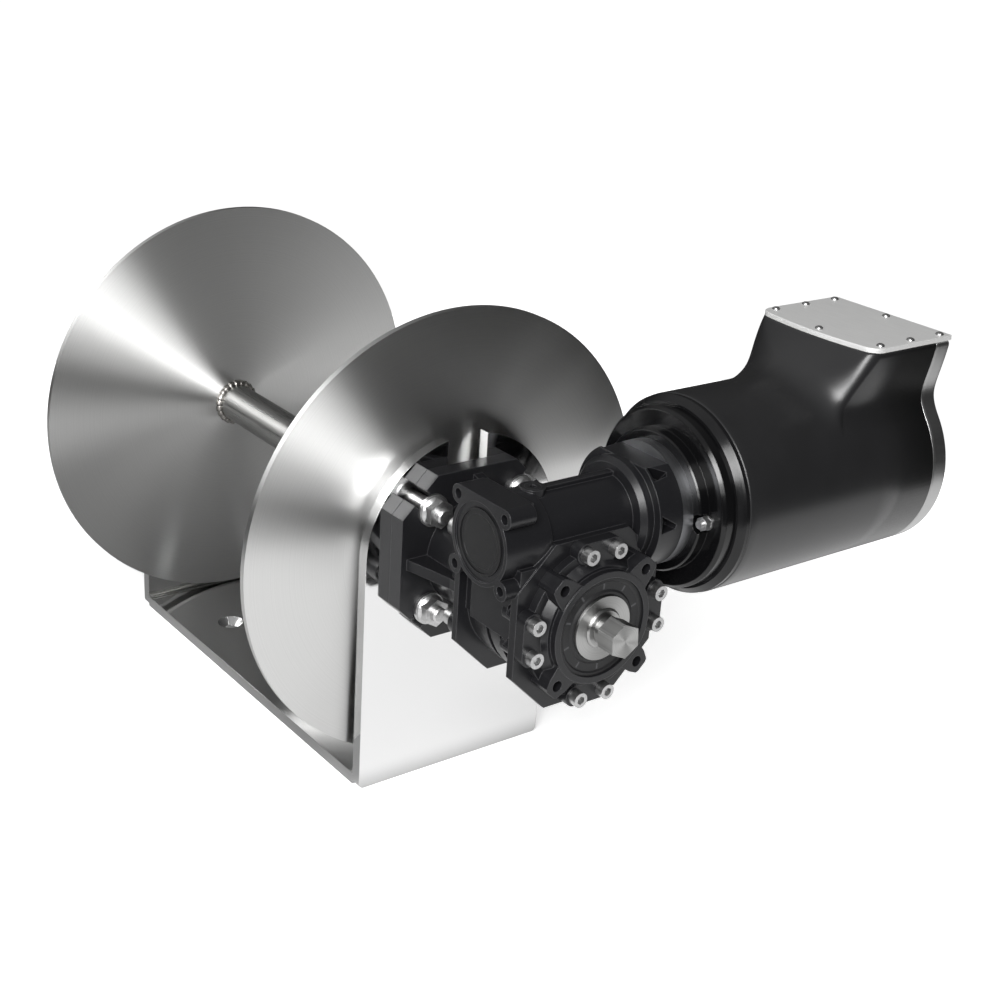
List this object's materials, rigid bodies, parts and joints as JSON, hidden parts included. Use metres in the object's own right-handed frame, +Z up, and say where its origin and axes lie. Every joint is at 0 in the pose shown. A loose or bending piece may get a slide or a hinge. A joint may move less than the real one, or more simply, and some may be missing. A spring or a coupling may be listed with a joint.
{
  "type": "electric anchor winch",
  "caption": "Drum anchor winch: two polished discs on a core between uprights, driven by a worm reducer and a covered electric motor.",
  "frame": {"origin": "centre of the four deck bolts on the underside of the base", "axes": "+Z up, +Y along the spool axis away from the reducer, +X along the motor away from the reducer"},
  "size_m": [0.4215, 0.5051, 0.31],
  "materials": {
    "polished_stainless": "mirror polished stainless plate",
    "turned_stainless": "stainless disc with a circular turned grain",
    "satin_stainless": "satin stainless sheet",
    "core_stainless": "drawn stainless tube with weld beads",
    "ground_steel": "ground steel",
    "bearing_steel": "hardened bearing steel",
    "bright_fastener": "bright stainless fasteners",
    "black_casting": "satin black paint on cast aluminium",
    "gloss_black_paint": "gloss black paint on machined aluminium",
    "motor_paint": "black paint on steel",
    "bare_aluminium": "turned aluminium",
    "cover_plastic": "satin black moulding",
    "black_plastic": "black moulded plastic",
    "dark_rubber": "dark grey nitrile rubber",
    "bush_plastic": "white acetal",
    "brush_board": "brown phenolic board",
    "brush_carbon": "pressed carbon",
    "magnet_ferrite": "ferrite magnet",
    "core_laminations": "varnished steel laminations and copper winding",
    "commutator_copper": "copper commutator bars",
    "cage_brass": "machined brass",
    "wheel_bronze": "cast bronze with hobbed teeth"
  },
  "bodies": {
    "frame": {"base_plate": "polished_stainless", "gear_side_plate": "polished_stainless", "idle_side_plate": "polished_stainless", "corner_welds": "polished_stainless", "mounting_flange": "black_casting", "flange_bolts": "bright_fastener", "flange_washers": "bright_fastener", "flange_nuts": "bright_fastener", "flange_screws": "bright_fastener", "gearbox_housing": "black_casting", "output_cover": "black_casting", "cover_screws": "bright_fastener", "output_seals": "dark_rubber", "wheel_bearing_outers": "bearing_steel", "wheel_bearing_cages": "cage_brass", "worm_end_plug": "dark_rubber", "oil_plug": "black_casting", "rotor_bearing_outers": "bearing_steel", "rotor_bearing_cages": "cage_brass", "input_seal": "dark_rubber", "input_adapter": "bare_aluminium", "adapter_screws": "bright_fastener", "motor_front_plate": "gloss_black_paint", "motor_stud_nuts": "bright_fastener", "motor_can": "motor_paint", "field_magnets": "magnet_ferrite", "motor_rear_bell": "motor_paint", "through_bolts": "bright_fastener", "brush_holder": "brush_board", "motor_brushes": "brush_carbon", "motor_cover": "cover_plastic", "cover_mouth_seal": "dark_rubber", "cover_end_cap": "polished_stainless", "end_cap_screws": "bright_fastener", "cover_top_plate": "satin_stainless", "top_plate_screws": "bright_fastener", "contactor": "black_plastic", "contactor_studs": "cage_brass", "cable_glands": "black_plastic", "idle_bearing_housing": "black_casting", "idle_bush": "bush_plastic", "idle_housing_fasteners": "bright_fastener"},
    "spool": {"gear_side_disc": "turned_stainless", "idle_side_disc": "turned_stainless", "spool_core": "core_stainless", "spool_welds": "core_stainless", "drive_shaft": "ground_steel", "shaft_key": "ground_steel", "drive_pin": "ground_steel", "worm_wheel": "wheel_bronze", "wheel_hub": "ground_steel", "wheel_bearing_inners": "bearing_steel", "shaft_collar": "bright_fastener"},
    "rotor": {"worm_shaft": "ground_steel", "rotor_bearing_inners": "bearing_steel", "motor_shaft": "ground_steel", "motor_key": "ground_steel", "armature_core": "core_laminations", "commutator": "commutator_copper"}
  },
  "joints": [
    {"name": "spool_spin", "type": "hinge", "parent": "frame", "child": "spool", "pos_m": [0, 0, 0.16], "axis": [0, 1, 0], "continuous": true},
    {"name": "rotor_spin", "type": "hinge", "parent": "frame", "child": "rotor", "pos_m": [0, -0.2525, 0.21], "axis": [1, 0, 0], "continuous": true}
  ],
  "couplings": [
    {"joint": "rotor_spin", "follows": "spool_spin", "ratio": -30}
  ]
}
